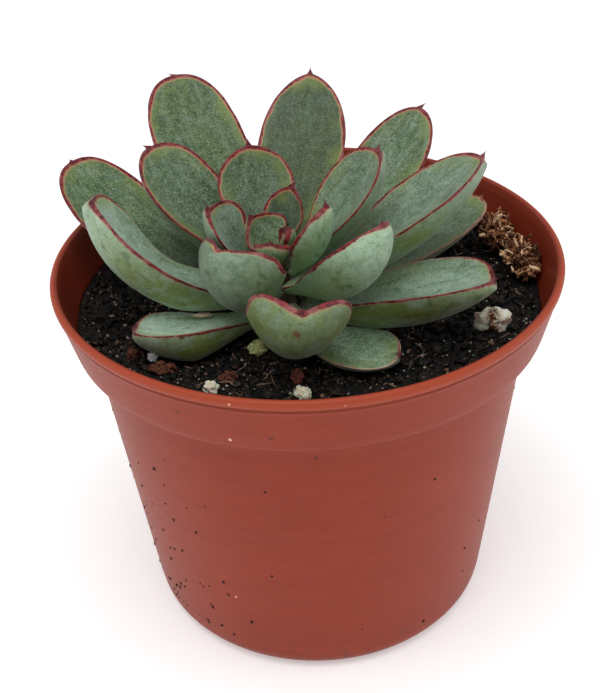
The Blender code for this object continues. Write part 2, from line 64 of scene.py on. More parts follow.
LEAVES = {
    "leaf_low_front_right": ((-48, 0.1, 0, 4, 19.5, 11.8, 3.4, 0.04, 0, 32, 1.0),
        (0.3, 0.2, 0.3, 0.2, 1.3, 0, 0, 0), {"spine": 0.5}),
    # Its brightness is raised as painted light on an upper face that the leaf above shades.
    "leaf_low_front_left": ((-152, 1.5, 4, 7, 20.5, 12.6, 6.0, 0.08, 14, -34, 1.0),
        (0.1, 1.0, 1.3, 0.7, 1.75, 1, 0, 0), {"spine": 0.5, "widest": 0.72, "root_share": 0.3}),
    "leaf_low_back_right": ((73, 0.1, 2, 10, 31, 12.5, 3.8, 0.08, 0, 0, 0.8), PLAIN_LOOK, {}),
    "leaf_low_back_left": ((112, 0.1, 2, 10, 31, 12.5, 3.8, 0.08, 0, 0, 0.8), PLAIN_LOOK, {}),
    "leaf_low_right": ((34, 0.8, 4, 16, 40.5, 13.5, 4.2, 0.10, 0, 0, 0.8),
        (0.6, 0.1, 0.9, 0.5, 0.85, 0, 0, 0.3), {}),
    "leaf_outer_right": ((-15, 2.7, 6, 24, 32, 17.0, 5.0, 0.18, -9, 0, 0.9),
        (0.1, 0.8, 1.55, 0.9, 1.12, -1, 0, 0.2), {"spine": 0.9, "root_share": 0.32}),
    "leaf_outer_left": ((145, 1.9, 8, 46, 42.5, 16.4, 4.4, 0.06, -2, 0, 1.0),
        (0.8, 0.0, 0.3, 1.1, 0.9, 0, 0, 0.65), {"spine": 0.5}),
    "leaf_outer_back_right": ((51, 3.2, 14, 42, 43, 14.2, 4.4, 0.08, 0, 0, 0.5),
        (0.7, 0.2, 1.5, 1.0, 0.9, 0, 1, 0), {"lean": 1.2}),
    "leaf_outer_back": ((78, 6.7, 22, 48, 39.5, 15.2, 4.4, 0.05, 0, 0, 0.15),
        (1.0, 0.0, 0.3, 1.0, 0.5, 0, 0.5, 0), {}),
    "leaf_outer_back_left": ((112, 4.2, 16, 46, 47.5, 16.6, 4.4, 0.05, 0, 0, 1.0),
        (1.0, 0.0, 0.3, 1.0, 0.78, 0, 0, 0.15), {"spine": 0.6, "lean": -1.6}),
    "leaf_middle_left": ((182, 4.8, 8, 66, 31.7, 16.2, 6.2, 0.14, 6, 0, 1.0),
        (0.1, 0.8, 1.2, 1.1, 1.25, 1, 0, 0),
        {"spine": 0.6, "lean": -1.0, "curl": 1.0, "widest": 0.5, "root_share": 0.34, "waist": 0.6}),
    "leaf_middle_front": ((-81, 4.0, 6, 62, 24.5, 15.6, 5.0, 0.12, -13, 0, 1.0),
        (0.3, 0.3, 1.8, 1.3, 0.88, 0, 0, 0), {"widest": 0.66, "tip_cup": 2.9, "root_share": 0.32}),
    "leaf_middle_right": ((15, 5.1, 20, 41, 36.5, 16.4, 5.2, 0.15, -9, 0, 0.4),
        (0.3, 0.5, 1.0, 0.9, 1.0, 0, 1, 0), {"root_share": 0.21}),
    "leaf_middle_back_left": ((144, 7.2, 28, 56, 28, 15.6, 4.4, 0.12, 4, 0, 0.8),
        (0.4, 0.0, 0.3, 1.2, 0.85, 0, 0, 0.3), {"spine": 1.0, "lean": -1.8, "root_share": 0.22}),
    "leaf_middle_back_right": ((25, 8.5, 34, 62, 23.5, 13.4, 4.2, 0.16, -5, 0, 0.6),
        (0.4, 0.3, 0.3, 0.9, 0.88, 0, 0, 0), {"root_share": 0.19}),
    "leaf_middle_back": ((103, 9.0, 36, 66, 20, 12.8, 4.0, 0.08, 0, 0, 0.2),
        (0.5, 0.0, 0.3, 1.0, 0.7, 0, 0, 0.25), {"root_share": 0.22}),
    "leaf_inner_front_right": ((-33, 7.5, 20, 70, 22, 14.2, 5.2, 0.16, -9, 0, 0.3),
        (0.3, 0.3, 0.7, 1.0, 1.5, 0, 0, 0), {"lean": -0.6, "root_share": 0.42}),
    "leaf_inner_front_left": ((-120, 6.7, 28, 78, 17, 15.8, 5.0, 0.15, 12, -26, 0.2),
        (0.3, 0.1, 0.8, 1.0, 0.9, 0, 0, 0),
        {"lean": 3.8, "widest": 0.6, "tip_cup": 2.4, "root_share": 0.37}),
    "leaf_young_right": ((-24, 9.1, 48, 84, 14.2, 8.4, 2.6, 0.18, -14, 4, 0.2),
        (0.3, 0.2, 0.6, 1.1, 1.4, 0, 0, 0), {"widest": 0.5, "root_share": 0.25}),
    "leaf_young_back": ((72, 10.2, 47, 75, 11, 7.0, 1.9, 0.26, 0, -16, 0.0),
        (0.4, 0.0, 0.2, 0.8, 0.5, 0, 0, 0.35),
        {"lean": 1.2, "widest": 0.56, "root_share": 0.2, "root_radius": 2.9}),
    "leaf_young_left": ((178, 8.8, 44, 74, 13.5, 12.5, 2.8, 0.20, -8, 0, 0.5),
        (0.1, 0.6, 0.2, 1.0, 0.9, 0, 0, 0.2), {"lean": -0.4, "root_share": 0.22}),
}
BUD_LEAVES = {
    "bud_leaf_back": ((145, 11.9, 32, 82, 7.2, 11.2, 1.8, 0.16, 0, 10, -0.4),
        (0.9, 0.0, 0.4, 1.0, 0.8, 0, 0, 0),
        {**BUD_TRAITS, "spine": 1.2, "lean": -1.6, "widest": 0.5, "root_radius": -0.2}),
    "bud_leaf_front": ((-100, 11.4, 36, 90, 4.9, 6.6, 2.4, 0.16, 0, 0, -0.4),
        (0.9, 0.0, 1.2, 1.3, 0.9, 0, 0, 0), BUD_TRAITS),
    "bud_leaf_right": ((10, 12.2, 60, 96, 4, 4.0, 2.2, 0.20, 0, 0, -0.4),
        (0.9, 0.0, 0.4, 1.3, 0.9, 0, 0, 0), BUD_TRAITS),
}
WAIST = (0.45, 0.26)  # place and spread of a waist, as shares of the length
PALE_START = 0.95  # a pale margin sets in below this share of the length, over PALE_SPREAD of it
PALE_SPREAD = 0.25
PALE_SHARE = 0.85  # share of the red that it loses
# Places and spreads of the yellow-green patches, as shares of the half width or of the length
FLANK = (0.72, 0.25)
PATCH = (0.46, 0.25)
GREEN_FACE = (0.42, 0.3)
PATCH_ON_FACE = 0.25
SUNNY_FROM = 0.75  # stronger patches than this tinge the whole underside
SUNNY_SHARE = 0.6
ROOT_SHADE_REACH = 0.75  # share of the length over which the painted shade at the root fades
STREAK_WIDTH = 0.16  # width of a streak, as a share of its length
STREAK_SHIFT = 50.0  # parts the streaks of one leaf from the next one's
# Old scars of the leaves: place, radius and colour
SCARS = [
    ((-2.2, -32.7, 71.6), 0.75, (112, 66, 48)),
    ((-19.9, -20.3, 64.3), 0.7, (120, 52, 40)),
]
# Marks on the pot: place, radius and colour
MARKS = [
    ((-12.1, -40.7, 65.7), 0.3, (226, 176, 150)),
    ((-12.6, -38.2, 57.6), 0.35, (230, 186, 162)),
    ((-14.8, -28.8, 16.9), 0.3, (220, 172, 146)),
    ((4.1, -42.3, 65.6), 0.25, (208, 150, 124)),
    ((-20.0, -36.1, 61.5), 0.4, (92, 22, 14)),
    ((-6.7, -40.0, 58.8), 0.45, (90, 28, 20)),
    ((-0.3, -36.7, 52.2), 0.35, (86, 30, 22)),
    ((-18.3, -29.8, 38.0), 0.4, (92, 28, 18)),
]
MIDRIB_STEPS = 60
EDGE = 1.0  # rim thickness of the solids
FINE_EDGE = 0.42  # rim thickness of the fine leaves, whose margins are crisper
FINE_GRID = (46, 44)  # rings along a leaf and sides around it
BUD_GRID = (30, 32)
COARSE_GRID = (40, 24)  # enough to see how near a leaf comes to the soil
RING_CROWDING = 1.7  # over 1 the rings crowd towards the tip
TIP_HALF_WIDTH = 0.5
POINT_RINGS = 6
POINT_FLARE = 2.2  # how hollow the sides of the leaf's point are
POINT_FILL = 0.1
POINT_RISE = 0.3  # height of the point over the end of the midrib
ROOT_CAP = 0.15  # depth of the root's end, as a share of the thickness
MARGIN_WAVE = 0.012  # waviness of the margin, as a share of the half width
WAVES_PER_MM = 0.35
RIM_SAMPLES = 300
RIM_CROWDING = 2.5

# Pot, by the same profile as the solid, with its corners rounded.
TURNS = 180
POT_LIP = [(41.15, 65.9), (41.3, 66.35), (41.75, 66.5), (42.25, 66.35), (42.5, 65.9), (42.4, 65.2),
           (42.0, 64.85), (42.05, 64.3), (41.85, 63.9)]
POT_BAND = [(40.0, 56.5), (39.6, 55.8), (38.0, 55.3), (37.3, 54.9), (36.9, 54.2)]
POT_FOOT = [(31.0, 5.0), (30.6, 2.6), (29.6, 1.0), (28.2, 0.25), (26.4, 0.0)]
POT_UNDERSIDE = [(18.0, 0.0), (17.4, 1.0), (16.4, 1.5), (0.0, 1.5)]
POT_INSIDE = [(0.0, 2.7), (16.8, 2.7), (18.0, 2.2), (18.8, 1.2), (26.2, 1.2), (28.2, 1.8),
              (29.5, 3.4), (29.95, 5.2), (35.9, 54.6), (36.4, 55.8), (38.3, 56.5), (38.95, 57.1)]
WALL_HEIGHTS = [5.0, 54.0, 57.0, 65.9]
WALL_RADII = [30.3, 36.3, 39.4, 41.7]  # middle of the wall at those heights
CORNER_CUT = 0.35
CORNER_STEPS = 4
DRAIN_RADIUS = 2.5
DRAIN_MIDDLE_RADIUS = 3.0
DRAIN_CIRCLE = 12.0
DRAIN_COUNT = 6
DRAIN_DEPTH = 6.0
DRAIN_HEIGHT = 2.0  # middle of the drain cutters
DRAIN_SIDES = 32

# Soil
FIT = 0.3  # clearance to the pot
SOIL_TOP = 58.4
SOIL_ROUGHNESS = 0.55
SOIL_GRAIN = 0.16  # relief waves per millimetre
SOIL_RIPPLE = 2.7  # the finer relief's waves for each wave of the broad one
SOIL_RING_COUNT = 60
BASE_LIMIT = 10.0  # the part of the pot's inside below this height is its base
SOIL_LUMP_LIMIT = 0.25  # height of the highest small lumps
LEAF_REACH = 3.0  # soil this near to a leaf's underside is pressed down
LEAF_CLEAR = 0.45
PRESSING_HEIGHT = 7.0  # leaves rooted below this may press the soil
CRUMB_COUNT = 5200
FIBRE_COUNT = 700
# Pale flecks: grains of the mix, strewn thickly as painted glints of the soil as well.
FLECK_COUNT = 900
CRUMB_SIZES = (-0.9, 0.45)  # mean and spread of the logarithm of a crumb's half size
CRUMB_LIMIT = 1.3
CRUMB_LEAST = 0.22
CRUMB_SWELL = 1.35  # how far a crumb's lumps may reach, in half sizes
CRUMB_AT_WALL = 0.3  # half size of a crumb that would touch the wall
FINER_CRUMB = 0.66  # half size from which a crumb has finer faces
FLECK_SIZE = 0.35
CRUMB_INSET = 0.9
LEAF_GAP = 0.1
BIT_MARGIN = 0.4
STEM_CLEAR = 5.0

# Crumbs and strands
LUMP_WAVES = (1.7, 4.1)  # broad and fine relief waves over a crumb's half size
CRUMB_TILT = 0.7
STRAND_STEPS = 6
STRAND_SIDES = 5
STRAND_FLATNESS = 0.6


# Shader helpers

class Graph:
    """A material's node tree, with short calls for its nodes."""

    def __init__(self, name):
        self.material = bpy.data.materials.new(name)
        self.material.use_nodes = True
        self.tree = self.material.node_tree
        self.shader = self.tree.nodes["Principled BSDF"]

    def put(self, socket, value):
        if isinstance(value, bpy.types.NodeSocket):
            self.tree.links.new(value, socket)
        else:
            socket.default_value = value

    def set(self, **values):
        for name, value in values.items():
            self.put(self.shader.inputs[name.replace("_", " ")], value)

    def node(self, kind, output, inputs, **settings):
        """One output of a new node, whose inputs are sockets or plain values."""
        node = self.tree.nodes.new("ShaderNode" + kind)
        for name, value in settings.items():
            setattr(node, name, value)
        for key, value in inputs.items():
            self.put(node.inputs[key], value)
        return node.outputs[output]

    def vector_math(self, operation, vector, other, output="Vector"):
        second = "Scale" if operation == "SCALE" else 1
        return self.node("VectorMath", output, {0: vector, second: other}, operation=operation)

    def millimetres(self):
        return self.vector_math("SCALE", self.node("TexCoord", "Object", {}), 1.0 / MM)

    def attribute(self, name):
        return self.node("Attribute", "Fac", {}, attribute_name=name)

    def noise(self, vector, size, detail=3.0, rough=0.55, distortion=0.0):
        """Noise from 0 to 1 whose lumps are about that many millimetres across."""
        return self.node("TexNoise", "Fac", {"Vector": vector, "Scale": 1.0 / size, "Detail": detail,
                                             "Roughness": rough, "Distortion": distortion})

    def math(self, operation, a, b=0.0):
        return self.node("Math", 0, {0: a, 1: b}, operation=operation)

    def times(self, a, b):
        return self.math("MULTIPLY", a, b)

    def plus(self, a, b):
        return self.math("ADD", a, b)

    def centred(self, value, reach):
        """Noise moved to lie about 0, and scaled."""
        return self.times(self.math("SUBTRACT", value, 0.5), reach)

    def span(self, value, low, high, out_low=0.0, out_high=1.0):
        """Smooth step of a value from one range to another."""
        ends = {"From Min": low, "From Max": high, "To Min": out_low, "To Max": out_high}
        return self.node("MapRange", "Result", {"Value": value, **ends}, interpolation_type="SMOOTHSTEP")

    def mix(self, factor, a, b):
        return self.node("Mix", 2, {"Factor": factor, 6: paint(a), 7: paint(b)}, data_type="RGBA")

    def tint(self, colour, other, value, low, high, most=1.0, share=None):
        """A colour that turns to another one where a value goes from low to high."""
        factor = self.span(value, low, high, 0.0, most)
        if share is not None:
            factor = self.times(factor, share)
        return self.mix(factor, colour, other)

    def spots(self, colour, place, spots, ragged):
        """Small spots over a colour, each by its place, radius and colour."""
        for spot, size, spot_colour in spots:
            gap = self.plus(self.vector_math("DISTANCE", place, spot, "Value"), ragged)
            colour = self.tint(colour, spot_colour, gap, size, 0.6 * size, 0.85)
        return colour

    def bump(self, height, distance, strength, **base):
        inputs = {"Strength": strength, "Distance": distance * MM, "Height": height, **base}
        return self.node("Bump", 0, inputs)


def paint(value):
    """An sRGB triple from 0 to 255 as a linear colour, anything else as it is."""
    if not isinstance(value, tuple):
        return value
    shares = [channel / 255.0 for channel in value]
    linear = [c / 12.92 if c <= 0.04045 else ((c + 0.055) / 1.055) ** 2.4 for c in shares]
    return (*linear, 1.0)


# Leaf material: colours as sRGB from 0 to 255, with a dark and a pale one in each pair

FACE_GREENS = ((72, 98, 72), (110, 134, 108))
OLIVE_GREENS = ((70, 98, 46), (108, 134, 76))
BACK_GREENS = ((100, 126, 98), (134, 158, 130))
BACK_YELLOW = (122, 142, 98)
PATCH_GREEN = (114, 130, 50)
ROOT_GREEN = (120, 140, 80)
BLOOM = (158, 182, 166)
CHALK = (160, 180, 164)
RUBBED = (58, 84, 52)
PALE_STREAK = (142, 168, 136)
DARK_STREAK = (64, 94, 48)
PALE_SPECK = (172, 190, 170)
DARK_SPECK = (38, 60, 36)
MARGIN_OLIVE = (128, 142, 74)
MARGIN_TAN = (176, 154, 102)
MARGIN_PINK = (192, 116, 90)
CRIMSONS = ((70, 12, 20), (138, 40, 46))
DUSTY_CRIMSON = (160, 98, 96)
PALE_RIM = (196, 178, 152)
POINT_RED = (84, 18, 32)


def leaf_skin(g, place, upper, mottle, broad):
    """Skin under the bloom, and the strength of its yellow-green patches."""
    tones = g.span(mottle, 0.3, 0.7)
    olive = g.times(g.attribute("olive"), g.span(broad, 0.3, 0.6, 0.4, 1.0))
    face = g.mix(olive, g.mix(tones, *FACE_GREENS), g.mix(tones, *OLIVE_GREENS))
    back = g.tint(g.mix(tones, *BACK_GREENS), BACK_YELLOW, broad, 0.4, 0.7, 0.6)
    colour = g.mix(upper, back, face)
    bloom = g.times(g.attribute("bloom"), g.span(broad, 0.25, 0.6, 0.55, 1.0))
    colour = g.mix(g.times(bloom, 0.75), colour, BLOOM)
    sun = g.times(g.attribute("patch"), g.span(g.noise(place, 4.0, 3.0), 0.3, 0.58, 0.3, 1.0))
    colour = g.mix(sun, colour, PATCH_GREEN)
    return g.mix(g.span(g.attribute("along"), 0.0, 0.34, 0.6, 0.0), colour, ROOT_GREEN), sun


def leaf_streaks(g, colour, upper):
    """Soft streaks along the blade."""
    blade = g.node("CombineXYZ", 0, {"X": g.attribute("across_mm"),
                                     "Y": g.times(g.attribute("along_mm"), STREAK_WIDTH)})
    streak = g.noise(blade, 1.5, 3.0, 0.55, 0.6)
    share = g.plus(g.times(upper, 0.6), 0.4)
    colour = g.tint(colour, PALE_STREAK, streak, 0.5, 0.7, 0.45, share)
    return g.tint(colour, DARK_STREAK, streak, 0.47, 0.3, 0.55, share)


def leaf_bloom(g, colour, place, sun, rough, grain):
    """Chalky and rubbed places of the bloom, and its speckle."""
    smear = g.noise(place, 3.4, 4.0, 0.62, 1.4)
    chalky = g.plus(g.times(g.attribute("bloom"), 0.6), 0.2)
    chalky = g.times(chalky, g.math("SUBTRACT", 1.0, g.times(sun, 0.75)))
    colour = g.tint(colour, CHALK, smear, 0.5, 0.66, 1.0, chalky)
    colour = g.tint(colour, RUBBED, smear, 0.46, 0.3, 0.6)
    colour = g.tint(colour, PALE_SPECK, grain, 0.52, 0.66, 0.6, rough)
    return g.tint(colour, DARK_SPECK, grain, 0.48, 0.34, 0.8, rough)


def leaf_margin(g, colour, place, upper, rough, broad):
    """The red margin, broader towards the tip and fading towards the root, and the dark point."""
    red = g.attribute("red")
    rim = g.attribute("rim_mm")
    tip = g.attribute("tip_mm")
    wobble = g.centred(g.noise(place, 0.8, 3.0), 0.5)
    slow = g.centred(g.noise(place, 4.5, 1.0), 0.9)
    gain = g.times(g.span(g.attribute("along"), 0.12, 0.6, 0.25, 1.0), g.span(tip, 6.0, 1.0, 1.0, 1.5))
    gain = g.times(gain, g.plus(g.times(red, 0.8), 0.2))
    near = g.math("DIVIDE", g.plus(g.plus(rim, wobble), slow), gain)
    glow = g.times(g.span(rim, 3.4, 0.9), g.span(broad, 0.42, 0.62, 0.05, 0.55))
    colour = g.mix(g.times(glow, upper), colour, MARGIN_OLIVE)
    colour = g.tint(colour, MARGIN_TAN, near, 0.95, 0.55, 0.5, rough)
    colour = g.tint(colour, MARGIN_PINK, near, 0.68, 0.52, 0.8, rough)
    crimson = g.mix(g.span(g.noise(place, 0.6, 3.0, 0.7), 0.38, 0.62), *CRIMSONS)
    crimson = g.tint(crimson, DUSTY_CRIMSON, g.noise(place, 1.8, 2.0), 0.48, 0.68, 0.55)
    colour = g.tint(colour, crimson, near, 0.53, 0.38)
    colour = g.tint(colour, PALE_RIM, rim, 0.3, 0.12, 0.7, g.span(red, 0.8, 0.2))
    colour = g.tint(colour, POINT_RED, g.plus(tip, g.times(wobble, 2.0)), 1.7, 0.6, 0.9)
    return g.spots(colour, place, SCARS, wobble)


def leaf_material():
    g = Graph("leaf_skin")
    place = g.millimetres()
    upper = g.attribute("upper")
    broad = g.noise(place, 6.0, 2.0)
    mottle = g.noise(place, 1.1, 4.0, 0.7)
    grain = g.noise(place, 0.32, 3.0, 0.75)
    worn = g.math("SUBTRACT", 0.6, g.times(g.attribute("bloom"), 0.25))
    rough = g.plus(g.times(upper, worn), 0.35)
    colour, sun = leaf_skin(g, place, upper, mottle, broad)
    colour = leaf_streaks(g, colour, upper)
    colour = leaf_bloom(g, colour, place, sun, rough, grain)
    colour = g.vector_math("SCALE", colour, g.attribute("value"))
    colour = leaf_margin(g, colour, place, upper, rough, broad)
    g.set(Base_Color=colour, Roughness=g.span(mottle, 0.3, 0.7, 0.44, 0.6))
    g.set(Specular_IOR_Level=0.35, Subsurface_Weight=0.05, Subsurface_Scale=0.002)
    g.set(Sheen_Weight=0.18, Sheen_Roughness=0.35)
    fine = g.bump(grain, 0.07, 0.7)
    g.set(Normal=g.bump(g.noise(place, 3.2, 2.0), 0.4, 0.35, Normal=fine))
    return g.material


# Other materials

GROOVE_HEIGHT = 64.55
DUST_HEIGHT = 14.0
FLOOR_GLOW = 0.32


def pot_material():
    g = Graph("pot_plastic")
    place = g.millimetres()
    height = g.node("SeparateXYZ", "Z", {0: place})
    grain = g.noise(place, 0.5, 3.0, 0.7)
    streak = g.noise(g.vector_math("MULTIPLY", place, (0.25, 0.25, 2.2)), 3.0, 3.0)
    colour = g.mix(g.noise(place, 16.0, 3.0), (134, 44, 20), (146, 51, 25))
    colour = g.tint(colour, (157, 61, 34), streak, 0.35, 0.75, 0.35)
    # Paler spots where the grain is high: painted sheen.
    colour = g.tint(colour, (168, 78, 50), grain, 0.5, 0.8, 0.3)
    # Painted highlight: the top of the lip is lighter.
    colour = g.tint(colour, (172, 74, 47), height, 64.7, 65.3, 0.7)
    # Painted shade: a dark line along the groove under the lip's bead.
    groove = g.math("ABSOLUTE", g.math("SUBTRACT", height, GROOVE_HEIGHT))
    colour = g.tint(colour, (96, 32, 20), groove, 0.3, 0.08, 0.35)
    # Painted shade: the inside of the wall is darker.
    colour = g.mix(g.times(g.attribute("inside"), 0.6), colour, (120, 42, 28))
    dust = g.noise(place, 2.2, 4.0)
    colour = g.tint(colour, (92, 52, 40), height, DUST_HEIGHT, 0.0, 0.5, g.span(dust, 0.5, 0.72))
    colour = g.tint(colour, (96, 40, 30), g.noise(place, 0.8, 1.0), 0.74, 0.8, 0.5)
    colour = g.spots(colour, place, MARKS, g.centred(g.noise(place, 0.5, 2.0), 0.5))
    g.set(Base_Color=colour, Roughness=g.span(grain, 0.3, 0.7, 0.4, 0.52))
    g.set(Specular_IOR_Level=0.22)
    fine = g.bump(grain, 0.03, 0.5)
    g.set(Normal=g.bump(streak, 0.06, 0.35, Normal=fine))
    return g.material


def soil_material(name, dark, mid, light):
    g = Graph(name)
    place = g.millimetres()
    grain = g.noise(place, 0.5, 4.0, 0.7)
    value = g.plus(g.attribute("tone"), g.centred(grain, 0.6))
    colour = g.mix(g.span(value, 0.35, 0.8), dark, mid)
    # The palest tone is partly pale crumbs and partly painted glints.
    colour = g.tint(colour, light, value, 0.8, 0.98)
    # Fine pale dots: partly dust grains and partly painted glints of the moist soil.
    dust = g.span(g.noise(place, 0.42, 2.0, 0.6), 0.6, 0.68, 0.0, 0.75)
    dust = g.times(dust, g.span(g.noise(place, 3.0, 2.0), 0.4, 0.6, 0.3, 1.0))
    colour = g.mix(dust, colour, light)
    g.set(Base_Color=colour, Roughness=g.span(grain, 0.35, 0.65, 0.35, 0.8))
    g.set(Specular_IOR_Level=0.25)
    g.set(Normal=g.bump(grain, 0.3, 0.9))
    return g.material


def stone_material(name, base, pale, hollow, size):
    g = Graph(name)
    place = g.millimetres()
    grain = g.noise(place, size, 5.0, 0.7)
    pores = g.node("TexVoronoi", "Distance", {"Vector": place, "Scale": 1.0 / (size * 0.9)})
    colour = g.mix(g.span(grain, 0.35, 0.65), base, pale)
    colour = g.tint(colour, hollow, pores, 0.3, 0.08, 0.8)
    colour = g.tint(colour, (96, 54, 24), grain, 0.35, 0.5, 1.0, g.attribute("core"))
    g.set(Base_Color=colour, Roughness=0.9, Specular_IOR_Level=0.2)
    g.set(Subsurface_Weight=0.4, Subsurface_Scale=0.002)
    g.set(Normal=g.bump(g.plus(grain, g.times(pores, 0.6)), 0.4, 0.7))
    return g.material


def floor_material():
    g = Graph("floor")
    colour = g.mix(g.noise(g.millimetres(), 90.0, 2.0), (250, 250, 250), (246, 246, 246))
    g.set(Base_Color=colour, Roughness=0.7, Specular_IOR_Level=0.1)
    g.set(Emission_Color=(1.0, 1.0, 1.0, 1.0), Emission_Strength=FLOOR_GLOW)
    return g.material


# Mesh helpers

def new_object(name, data):
    thing = bpy.data.objects.new(name, data)
    bpy.context.scene.collection.objects.link(thing)
    return thing


def new_mesh(name, points, faces):
    """A mesh from points in millimetres."""
    mesh = bpy.data.meshes.new(name)
    mesh.from_pydata([Vector(point) * MM for point in points], [], faces)
    return mesh


def settled(shape, name):
    mesh = bpy.data.meshes.new(name)
    shape.to_mesh(mesh)
    shape.free()
    return mesh


def points_of(mesh):
    return np.array([vertex.co for vertex in mesh.vertices]) / MM


def add_piece(name, mesh, material, slot, *replaced):
    """A visible piece on the body, in place of the CAD nodes named last."""
    piece = new_object(name, mesh)
    mesh.materials.append(material)
    mesh.polygons.foreach_set("use_smooth", [True] * len(mesh.polygons))
    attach(piece, BODY)
    if replaced:
        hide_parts(*replaced)
    return piece


def set_attribute(mesh, name, values):
    """One value for each point of a mesh, or the same one for all."""
    layer = mesh.attributes.new(name, "FLOAT", "POINT")
    layer.data.foreach_set("value", np.full(len(mesh.vertices), values, np.float32))


def add_merged(name, parts, material, slot):
    """A piece from (points, faces, tone) parts in millimetres, with tone kept as an attribute."""
    points = []
    faces = []
    tones = []
    for part_points, part_faces, tone in parts:
        start = len(points)
        points.extend(part_points)
        faces.extend(tuple(start + i for i in face) for face in part_faces)
        tones.extend([tone] * len(part_points))
    mesh = new_mesh(name, points, faces)
    set_attribute(mesh, "tone", tones)
    add_piece(name, mesh, material, slot)


def ball(detail):
    """Points and faces of a ball of radius 1."""
    shape = bmesh.new()
    bmesh.ops.create_icosphere(shape, subdivisions=detail, radius=1.0)
    points = [vertex.co.copy() for vertex in shape.verts]
    faces = [tuple(vertex.index for vertex in face.verts) for face in shape.faces]
    shape.free()
    return points, faces


BALLS = {detail: ball(detail) for detail in (1, 2, 4)}


def stretched(way, radii):
    return Vector((way.x * radii[0], way.y * radii[1], way.z * radii[2]))


def crumb(middle, radii, turn, jag, seed, detail):
    """A crumb: a ball pulled to three half sizes, turned and broken up by noise."""
    broad, fine = LUMP_WAVES
    points, faces = BALLS[detail]
    shift = Vector((seed * 1.37, seed * 0.71, seed * 2.13))
    made = []
    for way in points:
        growth = 1.0 + jag * noise.noise(way * broad + shift)
        growth += 0.5 * jag * noise.noise(way * fine + shift)
        made.append(middle + turn @ (stretched(way, radii) * growth))
    return made, faces


def random_turn():
    about_z = Matrix.Rotation(random.uniform(0, math.tau), 3, "Z")
    about_x = Matrix.Rotation(random.uniform(-CRUMB_TILT, CRUMB_TILT), 3, "X")
    about_y = Matrix.Rotation(random.uniform(-CRUMB_TILT, CRUMB_TILT), 3, "Y")
    return about_z @ about_x @ about_y


def strand(path, radius):
    """A thin fibre along a list of points, pointed at both ends."""
    points = []
    faces = []
    count = len(path)
    for i, place in enumerate(path):
        ahead = path[min(i + 1, count - 1)] - path[max(i - 1, 0)]
        ahead.normalize()
        side = ahead.orthogonal().normalized()
        up = ahead.cross(side)
        size = radius * (0.35 + 0.65 * math.sin(math.pi * (i + 0.5) / count))
        for j in range(STRAND_SIDES):
            angle = math.tau * j / STRAND_SIDES
            rise = math.sin(angle) * size * STRAND_FLATNESS
            points.append(place + side * (math.cos(angle) * size) + up * rise)
    for i in range(count - 1):
        ring, beyond = i * STRAND_SIDES, (i + 1) * STRAND_SIDES
        for j in range(STRAND_SIDES):
            k = (j + 1) % STRAND_SIDES
            faces.append((ring + j, ring + k, beyond + k, beyond + j))
    faces.append(tuple(reversed(range(STRAND_SIDES))))
    faces.append(tuple((count - 1) * STRAND_SIDES + j for j in range(STRAND_SIDES)))
    return points, faces


def curly_path(start, heading, length, curl):
    place = start
    way = heading.normalized()
    path = [place]
    for _ in range(STRAND_STEPS):
        way = (way + Vector([random.uniform(-curl, curl) for _ in range(3)])).normalized()
        place = place + way * (length / STRAND_STEPS)
        path.append(place)
    return path


# Leaves

def ease(t):
    t = np.clip(t, 0.0, 1.0)
    return t * t * (3.0 - 2.0 * t)


def bell(value, middle, spread):
    return np.exp(-((value - middle) / spread) ** 2)


def half_outline(s, root_share, widest, blunt):
    lower = root_share + (1.0 - root_share) * ease(s / widest)
    u = np.clip((s - widest) / (1.0 - widest), 0.0, 1.0)
    return np.where(s < widest, lower, (1.0 - u ** (2.2 + 0.6 * blunt)) ** (0.66 - 0.22 * blunt))


def leaf_frames(row, traits, s):
    """Midrib points, directions, face normals and side directions at shares s of the length."""
    azimuth, height, pitch, tip_pitch, length, _, _, _, roll, bend, _ = row
    radius = traits["root_radius"]
    if radius is None:
        radius = ROOT_RADIUS - STEM_TAPER * height

    def directions(t):
        rise = np.radians(pitch + (tip_pitch - pitch) * t ** traits["curl"])
        heading = np.radians(azimuth + bend * t ** 1.5)
        along = np.stack([np.cos(rise) * np.cos(heading), np.cos(rise) * np.sin(heading), np.sin(rise)], -1)
        up = np.stack([-np.sin(rise) * np.cos(heading), -np.sin(rise) * np.sin(heading), np.cos(rise)], -1)
        return along, up

    start = math.radians(azimuth)
    root = np.array([PLANT_X + radius * math.cos(start), PLANT_Y + radius * math.sin(start), DATUM + height])
    middles = (np.arange(MIDRIB_STEPS) + 0.5) / MIDRIB_STEPS
    steps = directions(middles)[0] * (length / MIDRIB_STEPS)
    midrib = np.vstack([root, root + np.cumsum(steps, 0)])
    stations = np.linspace(0.0, 1.0, MIDRIB_STEPS + 1)
    place = np.stack([np.interp(s, stations, midrib[:, i]) for i in range(3)], -1)
    along, up = directions(np.clip(s, 0.0, 1.0))
    side = np.cross(along, up)
    turn = (np.radians(roll) * ease(s / 0.45))[:, None]
    return place, along, up * np.cos(turn) + side * np.sin(turn), side * np.cos(turn) - up * np.sin(turn)


def waist_share(s, x, waist):
    """Share left of one half of a leaf at shares s of its length."""
    drawn_in = 1.0 - abs(waist) * bell(s, *WAIST)
    return np.where(x * waist > 0.0, drawn_in, 1.0)


def leaf_sizes(row, traits, s):
    """Half width of a leaf and depth of its trough at shares s of its length."""
    width, cup, blunt = row[5], row[7], row[10]
    outline = half_outline(s, traits["root_share"], traits["widest"], blunt)
    half = np.maximum(0.5 * width * outline, TIP_HALF_WIDTH)
    tip_gain = 1.0 + (traits["tip_cup"] - 1.0) * np.maximum(0.0, (s - 0.6) / 0.4)
    return half, cup * 2.0 * half * ease(s / 0.3) * tip_gain


